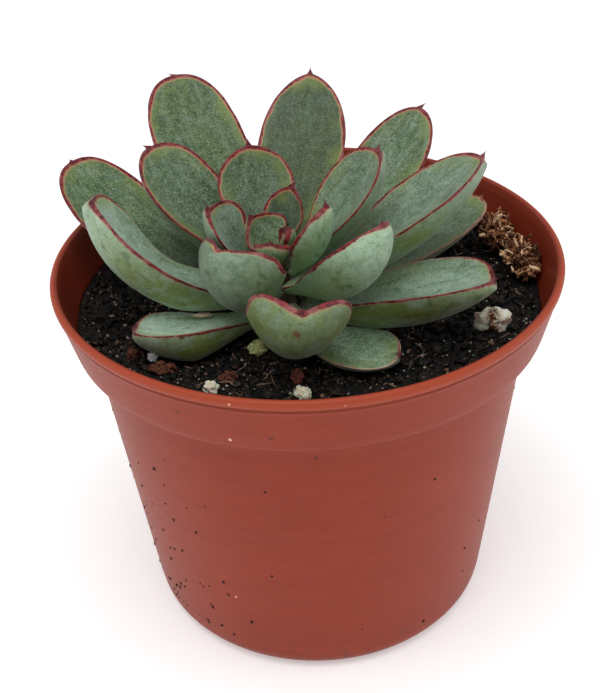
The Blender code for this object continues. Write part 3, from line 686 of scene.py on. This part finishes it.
def rim_distance(row, traits, points, apex):
    """Distance in millimetres from points of a leaf to the line along its rim."""
    s = 1.0 - (1.0 - np.linspace(0.0, 1.0, RIM_SAMPLES)) ** RIM_CROWDING
    place, _, up, side = leaf_frames(row, traits, s)
    half, trough = leaf_sizes(row, traits, s)
    line = [place[-1:], apex[None, :]]
    for x in (-1.0, 1.0):
        share = x * waist_share(s, x, traits["waist"])
        line.append(place + side * (half * share)[:, None] + up * (trough * share ** 2)[:, None])
    line = np.vstack(line)
    return np.linalg.norm(points[:, None, :] - line[None, :, :], axis=-1).min(1)


def margin_wave(s, x, length, seed):
    """Slight waves of the width, other ones on each side, over shares along and across."""
    wave = np.array([[noise.noise(Vector((t * length * WAVES_PER_MM, sign * 9.0, seed * 3.7)))
                      for sign in (-1, 1)] for t in s])
    return 1.0 + MARGIN_WAVE * np.where(x < 0, wave[:, :1], wave[:, 1:]) * np.abs(x)


def leaf_surface(row, traits, s, x, is_upper, seed):
    """Points of a leaf's rings at shares s of its length and x of its half width."""
    length, thickness = row[4], row[6]
    place, _, up, side = leaf_frames(row, traits, s)
    half, trough = leaf_sizes(row, traits, s)
    swell = (0.45 + 0.55 * ease(s / 0.4)) * (1.0 - 0.75 * np.maximum(0.0, (s - 0.5) / 0.5) ** 2)
    edge = np.minimum(FINE_EDGE, 0.6 * half)
    depth = np.minimum((thickness - EDGE) * swell, 0.9 * half) + 0.5 * (np.minimum(EDGE, 0.8 * half) - edge)
    q = np.minimum(np.abs(x), 1.0)
    rim = 0.5 * np.sqrt(np.maximum(0.0, 1.0 - q ** 6))
    keel = np.maximum(0.0, 1.0 - q ** 1.9) ** 0.8
    reach = x * waist_share(s[:, None], x, traits["waist"])
    across = half[:, None] * reach * margin_wave(s, x, length, seed)
    rims = edge[:, None] * rim
    lift = trough[:, None] * reach ** 2 + np.where(is_upper, rims, -rims - depth[:, None] * keel)
    points = place[:, None, :] + side[:, None, :] * across[..., None] + up[:, None, :] * lift[..., None]
    return points.reshape(-1, 3)


def patch_strength(sunny, green_side, shares, across, uppers):
    """Strength of the yellow-green patches at shares along and across a leaf."""
    patch = bell(np.abs(across), *FLANK) * bell(shares, *PATCH)
    patch = patch * (PATCH_ON_FACE + (1.0 - PATCH_ON_FACE) * (1.0 - uppers))
    patch = sunny * patch + SUNNY_SHARE * max(0.0, sunny - SUNNY_FROM) * (1.0 - uppers)
    flank = green_side * np.clip(across * 1.6 - 0.2, 0.0, 1.0)
    return patch + uppers * flank * bell(shares, *GREEN_FACE)


def margin_red(red, pale_side, shares, across):
    """Redness of the margin, with the side of it that stays pale on some leaves."""
    paler = np.clip((PALE_START - shares) / PALE_SPREAD, 0.0, 1.0)
    paler *= across * pale_side > 0.0
    return red * (1.0 - PALE_SHARE * paler)


def point_rings(middle, apex, base):
    """Rings that narrow from the last ring of a leaf, base, to its point."""
    made = []
    for k in range(1, POINT_RINGS + 1):
        f = k / (POINT_RINGS + 1)
        size = (1.0 - f) ** POINT_FLARE + POINT_FILL * (1.0 - f)
        made.append(middle + (apex - middle) * f + (base - middle) * size)
    return made


def leaf_faces(rings, sides):
    """Faces between rings of points, closed by the two points that follow them."""
    faces = []
    for k in range(rings - 1):
        for j in range(sides):
            following = (j + 1) % sides
            ring, beyond = k * sides, (k + 1) * sides
            faces.append((ring + j, beyond + j, beyond + following, ring + following))
    last = rings * sides
    for j in range(sides):
        following = (j + 1) % sides
        faces.append((last, j, following))
        faces.append((last + 1, last - sides + following, last - sides + j))
    return faces


def leaf_mesh(name, row, looks, own_traits, grid=FINE_GRID, seed=0):
    """One fine leaf with the attributes that its material reads."""
    rings, sides = grid
    length, width, thickness = row[4:7]
    olive, bloom, sunny, red, value, pale_side, green_side, dark = looks
    traits = {**PLAIN_TRAITS, **own_traits}
    s = 1.0 - (1.0 - np.linspace(0.0, 1.0, rings)) ** RING_CROWDING
    angles = np.arange(sides) * (math.tau / sides)
    x = np.cos(angles)
    is_upper = np.sin(angles) > 1e-9
    points = leaf_surface(row, traits, s, x, is_upper, seed)
    shares = np.repeat(s, sides)
    across = np.tile(x, rings)
    uppers = np.tile(is_upper * 1.0, rings)
    patch = patch_strength(sunny, green_side, shares, across, uppers)
    red = margin_red(red, pale_side, shares, across)

    place, along, up, side = leaf_frames(row, traits, s)
    apex = place[-1] + along[-1] * traits["spine"] + up[-1] * POINT_RISE + side[-1] * traits["lean"]
    root_cap = place[0] - up[0] * (ROOT_CAP * thickness)
    narrowing = point_rings(place[-1], apex, points[-sides:])
    points = np.vstack([points] + narrowing + [root_cap[None, :], apex[None, :]])
    added = POINT_RINGS * sides
    shares = np.concatenate([shares, np.ones(added), [0.0, 1.0]])
    mesh = new_mesh(name + "_fine", points, leaf_faces(rings + POINT_RINGS, sides))
    attributes = {
        "rim_mm": rim_distance(row, traits, points, apex),
        "tip_mm": np.linalg.norm(points - apex, axis=1),
        "upper": np.concatenate([uppers, np.ones(added), [0.0, 1.0]]),
        "along": shares,
        "patch": np.minimum(np.pad(patch, (0, added + 2)), 1.0),
        "red": np.pad(red, (0, added + 2), "edge"),
        "across_mm": np.pad(across * width * 0.5, (0, added + 2)) + STREAK_SHIFT * seed,
        "along_mm": shares * length,
        # the last look darkens the root: painted shade deep in the rosette
        "value": value * (1.0 - dark * (1.0 - ease(shares / ROOT_SHADE_REACH))),
        "olive": olive,
        "bloom": bloom,
    }
    for key, values in attributes.items():
        set_attribute(mesh, key, values)
    return mesh


def make_leaves():
    material = leaf_material()
    meshes = []
    for seed, (name, leaf) in enumerate(LEAVES.items(), 1):
        mesh = leaf_mesh(name, *leaf, seed=seed)
        add_piece(name + "_fine", mesh, material, "leaf", name)
        meshes.append(mesh)
    bud = bmesh.new()
    for seed, (name, leaf) in enumerate(BUD_LEAVES.items(), 40):
        mesh = leaf_mesh(name, *leaf, BUD_GRID, seed)
        bud.from_mesh(mesh)
        bpy.data.meshes.remove(mesh)
    meshes.append(settled(bud, "bud_fine"))
    add_piece("bud_fine", meshes[-1], material, "bud", "bud")
    return meshes


def search_tree(meshes):
    """One tree over all leaves, to find the nearest to a point."""
    corners = []
    polygons = []
    for mesh in meshes:
        first = len(corners)
        corners.extend(vertex.co.copy() for vertex in mesh.vertices)
        polygons.extend([first + i for i in polygon.vertices] for polygon in mesh.polygons)
    return BVHTree.FromPolygons(corners, polygons)


# Pot

def rounded(profile):
    """A profile with each corner cut to a short arc."""
    made = [profile[0]]
    for before, corner, after in zip(profile, profile[1:], profile[2:]):
        middle = Vector(corner)
        a = middle.lerp(Vector(before), CORNER_CUT)
        b = middle.lerp(Vector(after), CORNER_CUT)
        for i in range(CORNER_STEPS):
            t = i / (CORNER_STEPS - 1)
            made.append(tuple(a.lerp(middle, t).lerp(middle.lerp(b, t), t)))
    made.append(profile[-1])
    return made


def turned_mesh(name, profile):
    """A closed turned body whose profile starts and ends on the axis, outward faces."""
    shape = bmesh.new()
    start = shape.verts.new((0.0, 0.0, profile[0][1] * MM))
    end = shape.verts.new((0.0, 0.0, profile[-1][1] * MM))
    angles = [math.tau * j / TURNS for j in range(TURNS)]
    rings = []
    for radius, height in profile[1:-1]:
        rings.append([shape.verts.new((radius * math.cos(angle) * MM, radius * math.sin(angle) * MM,
                                       height * MM)) for angle in angles])
    for j in range(TURNS):
        k = (j + 1) % TURNS
        shape.faces.new((start, rings[0][j], rings[0][k]))
        shape.faces.new((end, rings[-1][k], rings[-1][j]))
        for near, far in zip(rings, rings[1:]):
            shape.faces.new((near[j], far[j], far[k], near[k]))
    bmesh.ops.recalc_face_normals(shape, faces=shape.faces[:])
    return settled(shape, name)


def drain_cutter():
    """Cylinders in the places of the drain holes, as one object."""
    places = [(0.0, 0.0, DRAIN_MIDDLE_RADIUS)]
    for i in range(DRAIN_COUNT):
        angle = math.tau * i / DRAIN_COUNT
        places.append((DRAIN_CIRCLE * math.cos(angle), DRAIN_CIRCLE * math.sin(angle), DRAIN_RADIUS))
    shape = bmesh.new()
    for x, y, radius in places:
        bmesh.ops.create_cone(shape, cap_ends=True, segments=DRAIN_SIDES, radius1=radius * MM,
                              radius2=radius * MM, depth=DRAIN_DEPTH * MM,
                              matrix=Matrix.Translation(Vector((x, y, DRAIN_HEIGHT)) * MM))
    return new_object("drain_holes", settled(shape, "drain_holes"))


def make_pot():
    mesh = turned_mesh("pot_fine", rounded(POT_INSIDE + POT_LIP + POT_BAND + POT_FOOT + POT_UNDERSIDE))
    pot = add_piece("pot_fine", mesh, pot_material(), "pot", "pot")
    cutter = drain_cutter()
    cut = pot.modifiers.new("drains", "BOOLEAN")
    cut.operation = "DIFFERENCE"
    cut.object = cutter
    bpy.context.view_layer.update()
    graph = bpy.context.evaluated_depsgraph_get()
    cut_pot = bpy.data.meshes.new_from_object(pot.evaluated_get(graph))
    pot.modifiers.clear()
    pot.data = cut_pot
    bpy.data.objects.remove(cutter, do_unlink=True)
    places = points_of(cut_pot)
    wall = np.interp(places[:, 2], WALL_HEIGHTS, WALL_RADII)
    set_attribute(cut_pot, "inside", np.hypot(places[:, 0], places[:, 1]) < wall)


# Soil

def soil_relief(x, y):
    wave = noise.noise(Vector((x, y, 0.0)) * SOIL_GRAIN)
    ripple = noise.noise(Vector((x, y, 0.0)) * (SOIL_GRAIN * SOIL_RIPPLE))
    return SOIL_TOP + SOIL_ROUGHNESS * (wave + 0.5 * ripple)


def leaf_undersides():
    """Points of the low leaves that come near the soil."""
    kept = []
    for name, leaf in LEAVES.items():
        if leaf[0][1] > PRESSING_HEIGHT:
            continue
        mesh = leaf_mesh(name, *leaf, COARSE_GRID)
        points = points_of(mesh)
        bpy.data.meshes.remove(mesh)
        kept.append(points[points[:, 2] < SOIL_TOP + 2.0 * LEAF_REACH])
    return np.vstack(kept)


def soil_heights(spots, undersides):
    """Heights of the soil at spots, pressed down under the leaves that lie on it."""
    heights = np.array([soil_relief(x, y) for x, y in spots])
    for i, spot in enumerate(spots):
        near = np.hypot(undersides[:, 0] - spot[0], undersides[:, 1] - spot[1]) < LEAF_REACH
        if near.any():
            heights[i] = min(heights[i], undersides[near, 2].min() - LEAF_CLEAR)
    return heights


def wall_radius(low, high, height):
    """Radius at a height on the straight wall between two points of the profile."""
    return low[0] + (high[0] - low[0]) * ((height - low[1]) / (high[1] - low[1]))


def soil_edge():
    return wall_radius(POT_INSIDE[-1], POT_LIP[0], SOIL_TOP) - FIT


def small_lumps(x, y):
    broad = 0.5 * noise.noise(Vector((x, y, 3.0)) * 0.9)
    return min(broad + 0.3 * noise.noise(Vector((x, y, 7.0)) * 2.1), SOIL_LUMP_LIMIT)


def make_soil_body(undersides, material):
    edge = soil_edge()
    inside = []
    for radius, height in POT_INSIDE:
        inside.append((max(radius - FIT, 0.0), height + (FIT if height < BASE_LIMIT else 0.0)))
    top = [(edge * (1.0 - i / SOIL_RING_COUNT), SOIL_TOP) for i in range(SOIL_RING_COUNT)]
    mesh = turned_mesh("soil_fine", list(reversed(inside + top + [(0.0, SOIL_TOP)])))
    places = points_of(mesh)
    on_top = np.abs(places[:, 2] - SOIL_TOP) < 0.01
    spots = places[on_top, :2]
    places[on_top, 2] = soil_heights(spots, undersides) + np.array([small_lumps(x, y) for x, y in spots])
    mesh.vertices.foreach_set("co", (places * MM).astype(np.float32).reshape(-1))
    set_attribute(mesh, "tone", 0.3)
    add_piece("soil_fine", mesh, material, "soil", "soil")


def strewn_spots(edge):
    spots = []
    for _ in range(CRUMB_COUNT + FIBRE_COUNT + FLECK_COUNT):
        radius = (edge - CRUMB_INSET) * math.sqrt(random.random())
        angle = random.uniform(0, math.tau)
        spots.append((radius * math.cos(angle), radius * math.sin(angle)))
    return spots


def lies_over(x, y, box):
    """Whether a spot is on or close to a loose bit, seen from above."""
    low, high = box
    return (low.x / MM - BIT_MARGIN < x < high.x / MM + BIT_MARGIN
            and low.y / MM - BIT_MARGIN < y < high.y / MM + BIT_MARGIN)


def soil_crumb(middle, size, seed):
    radii = (size, size * random.uniform(0.5, 1.0), size * random.uniform(0.45, 0.85))
    points, faces = crumb(middle, radii, random_turn(), 0.9, seed, 2 if size > FINER_CRUMB else 1)
    tone = random.random() ** 1.4
    return points, faces, tone if size < 0.5 else 0.8 * tone


def soil_fibre(middle, nearest, room):
    """A short curly fibre as a list, empty where there is no room for one."""
    heading = Vector((random.uniform(-1, 1), random.uniform(-1, 1), random.uniform(-0.1, 0.35)))
    length = min(random.uniform(0.9, 3.2), nearest * 0.9)
    if length < 0.8 or length > room:
        return []
    path = curly_path(middle + Vector((0, 0, 0.35)), heading, length, 0.35)
    points, faces = strand(path, random.uniform(0.06, 0.15))
    return [(points, faces, random.uniform(0.45, 1.1))]


def soil_fleck(middle, size, seed):
    radii = (size * random.uniform(0.25, 0.8),) * 3
    points, faces = crumb(middle + Vector((0, 0, 0.25)), radii, random_turn(), 0.6, seed, 1)
    return points, faces, 0.0


def make_crumbs(undersides, leaves, material):
    """Crumbs, fibres and pale flecks over the soil, clear of the leaves and the loose bits."""
    random.seed(11)
    blocked = [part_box(name) for name in BIT_LOOKS]
    edge = soil_edge()
    crumbs = []
    fibres = []
    flecks = []
    spots = strewn_spots(edge)
    heights = soil_heights(np.array(spots), undersides)
    for i, ((x, y), height) in enumerate(zip(spots, heights)):
        size = min(random.lognormvariate(*CRUMB_SIZES), CRUMB_LIMIT)
        if i >= CRUMB_COUNT:
            size = FLECK_SIZE
        middle = Vector((x, y, height + 0.25 * size))
        if math.hypot(x - PLANT_X, y - PLANT_Y) < STEM_CLEAR or any(lies_over(x, y, box) for box in blocked):
            continue
        nearest = leaves.find_nearest(middle * MM)[3] / MM
        if nearest < size * CRUMB_SWELL + LEAF_GAP:
            size = (nearest - LEAF_GAP) / CRUMB_SWELL
            if size < CRUMB_LEAST:
                continue
        room = edge - math.hypot(x, y)
        if size * 1.2 > room:
            size = CRUMB_AT_WALL
        if i < CRUMB_COUNT:
            crumbs.append(soil_crumb(middle, size, i))
        elif i < CRUMB_COUNT + FIBRE_COUNT:
            fibres.extend(soil_fibre(middle, nearest, room))
        else:
            flecks.append(soil_fleck(middle, size, i))
    fibre_look = soil_material("soil_fibre", (24, 17, 14), (56, 40, 32), (126, 106, 92))
    fleck_look = stone_material("fleck", (110, 92, 82), (196, 184, 172), (64, 52, 46), 0.5)
    add_merged("soil_crumbs", crumbs, material, "soil")
    add_merged("soil_fibres", fibres, fibre_look, "soil")
    add_merged("soil_flecks", flecks, fleck_look, "perlite")


# Loose bits: slot, colours (base, pale, hollow), grain size, roughness of the shape.
BIT_LOOKS = {
    "pumice": ("pumice", (250, 238, 206), (255, 253, 242), (196, 160, 112), 0.6, 0.45),
    "perlite_front": ("perlite", (216, 202, 172), (248, 240, 218), (150, 122, 88), 0.6, 0.4),
    "perlite_left": ("perlite", (216, 204, 178), (250, 242, 222), (146, 118, 88), 0.6, 0.4),
    "white_grain": ("perlite", (244, 242, 238), (255, 255, 252), (200, 192, 180), 0.6, 0.6),
    # The bark's pale tone is partly its grain and partly painted glints on its shiny bits.
    "bark_left": ("bark", (30, 16, 12), (124, 76, 56), (12, 8, 6), 0.4, 0.6),
    "bark_left_small": ("bark", (30, 16, 12), (112, 66, 50), (12, 8, 6), 0.4, 0.6),
    "bark_front": ("bark", (30, 17, 13), (116, 70, 54), (12, 8, 6), 0.4, 0.6),
    "stick": ("bark", (62, 26, 22), (134, 76, 64), (30, 14, 12), 0.5, 0.3),
    # The coir lumps are darker than the strands: painted shade in the gaps between fibres.
    "coir_back": ("coir", (44, 24, 13), (96, 58, 28), (18, 10, 7), 0.8, 0.8),
    "coir_side": ("coir", (44, 24, 13), (98, 60, 30), (18, 10, 7), 0.8, 0.8),
    "green_chunk": ("green_chunk", (168, 174, 104), (222, 222, 162), (84, 88, 44), 0.6, 0.35),
    "withered_scale": ("scale", (178, 150, 136), (226, 206, 190), (130, 96, 84), 0.8, 0.3),
}
BIT_SIZE = 0.98  # size of the fine bits, as a share of the solid's box
COIR_LUMP = 0.86  # the same for the lumps under the coir's strands, darkened as painted shade between them
CORE_X = -0.1  # the pumice's brown middle: its place from the chunk's middle
CORE_Y = -1.4
CORE_REACH = 1.2
CORE_LENGTH = 2.4  # it is this many times longer along Y than along X
COIR_STRANDS = 320


def box_shape(name):
    """Middle and half sizes of a solid's box in millimetres."""
    low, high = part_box(name)
    return (low + high) / (2.0 * MM), (high - low) / (2.0 * MM)


def pumice_core(point, middle):
    gap = math.hypot(point.x - middle.x - CORE_X, (point.y - middle.y - CORE_Y) / CORE_LENGTH)
    return min(max((CORE_REACH - gap) * 1.8, 0.0), 1.0)


def make_bits():
    for seed, (name, (slot, base, pale, hollow, grain, jag)) in enumerate(BIT_LOOKS.items()):
        middle, radii = box_shape(name)
        radii = radii * (COIR_LUMP if slot == "coir" else BIT_SIZE)
        points, faces = crumb(middle, radii, Matrix.Identity(3), jag, seed * 7 + 3, 4)
        mesh = new_mesh(name + "_fine", points, faces)
        core = [pumice_core(point, middle) for point in points] if name == "pumice" else 0.0
        set_attribute(mesh, "core", core)
        material = stone_material(name + "_look", base, pale, hollow, grain)
        add_piece(name + "_fine", mesh, material, slot, name)


def coir_strands(name):
    """Curly strands that stand out of a lump of coir, none of them past the wall."""
    middle, radii = box_shape(name)
    limit = soil_edge() + (middle.z - SOIL_TOP) * 0.25
    parts = []
    for _ in range(COIR_STRANDS):
        way = Vector((random.gauss(0, 1), random.gauss(0, 1), abs(random.gauss(0, 1)) + 0.1)).normalized()
        depth = random.uniform(0.8, 1.02)
        start = middle + stretched(way, radii) * depth
        heading = way.cross(Vector([random.gauss(0, 1) for _ in range(3)]))
        path = curly_path(start, heading + way * 0.25, random.uniform(1.2, 3.4), 0.85)
        if any(math.hypot(point.x, point.y) > limit for point in path):
            continue
        points, faces = strand(path, random.uniform(0.14, 0.44))
        parts.append((points, faces, random.uniform(0.1, 1.1)))
    return parts


def make_coir():
    # The strands' palest tone is partly their colour and partly painted highlights.
    material = soil_material("coir_strand", (80, 42, 26), (168, 110, 70), (242, 200, 158))
    for seed, name in enumerate(("coir_back", "coir_side"), 70):
        random.seed(seed)
        add_merged(name + "_strands", coir_strands(name), material, "coir")


SPECK_COUNT = 90
SPECK_SIDE = math.radians(212)  # the specks gather on the front left of the wall


def make_specks():
    """Grains of soil stuck to the outer wall, most of them low on the left."""
    random.seed(5)
    parts = []
    for i in range(SPECK_COUNT):
        angle = random.gauss(SPECK_SIDE, 0.3) if i % 4 else random.uniform(0, math.tau)
        height = 5.5 + 40.0 * random.random() ** 1.6
        radius = wall_radius(POT_FOOT[0], POT_BAND[-1], height)
        size = random.uniform(0.12, 0.36)
        middle = Vector((radius * math.cos(angle), radius * math.sin(angle), height))
        radii = (size * 0.6, size, size * random.uniform(0.8, 1.5))
        points, faces = crumb(middle, radii, Matrix.Rotation(angle, 3, "Z"), 0.5, i, 1)
        parts.append((points, faces, random.random() * 0.6))
    material = soil_material("speck", (26, 16, 12), (52, 34, 26), (92, 66, 50))
    add_merged("wall_specks", parts, material, "soil")


def make_stem():
    """The stem keeps its CAD shape and gets a barky look."""
    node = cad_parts["stem"]
    node.data.materials.clear()
    node.data.materials.append(soil_material("stem_skin", (70, 58, 36), (104, 92, 56), (140, 128, 84)))


# Stage, in metres and watts

FLOOR_SIZE = 3.0
# Round lamps: place, size and power
LIGHTS = {
    "over": ((-0.05, -0.17, 0.67), 0.50, 2.0),
    "left": ((-0.62, -0.10, 0.30), 0.45, 0.5),
    "right": ((0.62, -0.06, 0.30), 0.45, 0.75),
}
AIM = Vector((0.0, 0.0, 0.05))
WORLD_STRENGTH = 0.5


def make_floor():
    half = FLOOR_SIZE / 2
    corners = [(-half, -half, 0), (half, -half, 0), (half, half, 0), (-half, half, 0)]
    mesh = bpy.data.meshes.new("floor")
    mesh.from_pydata(corners, [], [(0, 1, 2, 3)])
    mesh.materials.append(floor_material())
    floor = new_object("floor", mesh)


def make_lights():
    for name, (place, size, power) in LIGHTS.items():
        lamp = bpy.data.lights.new(name, "AREA")
        lamp.shape = "DISK"
        lamp.size = size
        lamp.energy = power
        thing = new_object(name, lamp)
        thing.location = place
        thing.rotation_mode = "QUATERNION"
        thing.rotation_quaternion = (AIM - Vector(place)).to_track_quat("-Z", "Y")


def make_world():
    world = bpy.data.worlds.new("studio")
    world.use_nodes = True
    sky = world.node_tree.nodes["Background"]
    sky.inputs["Color"].default_value = (1.0, 1.0, 1.0, 1.0)
    sky.inputs["Strength"].default_value = WORLD_STRENGTH
    bpy.context.scene.world = world
    bpy.context.scene.view_settings.view_transform = "Standard"


def make_camera():
    camera = new_object("camera", bpy.data.cameras.new("camera"))
    camera.data.lens = CAMERA_LENS
    camera.data.clip_start = 0.01
    pitch = Matrix.Rotation(math.radians(90.0 - CAMERA_PITCH), 4, "X")
    roll = Matrix.Rotation(math.radians(CAMERA_ROLL), 4, "Z")
    camera.matrix_world = Matrix.Translation(Vector(CAMERA_PLACE) * MM) @ pitch @ roll
    bpy.context.scene.camera = camera


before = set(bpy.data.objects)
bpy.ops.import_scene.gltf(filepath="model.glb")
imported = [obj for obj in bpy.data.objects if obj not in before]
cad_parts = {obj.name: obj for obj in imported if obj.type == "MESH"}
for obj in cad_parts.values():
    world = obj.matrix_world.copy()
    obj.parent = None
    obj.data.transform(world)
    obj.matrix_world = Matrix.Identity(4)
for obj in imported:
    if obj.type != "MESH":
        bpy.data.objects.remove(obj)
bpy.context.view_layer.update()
make_floor()
make_lights()
make_world()
make_camera()
leaf_meshes = make_leaves()
make_pot()
low_points = leaf_undersides()
soil_look = soil_material("soil_look", (5, 4, 4), (26, 18, 14), (132, 100, 78))
make_soil_body(low_points, soil_look)
make_crumbs(low_points, search_tree(leaf_meshes), soil_look)
make_bits()
make_coir()
make_specks()
make_stem()
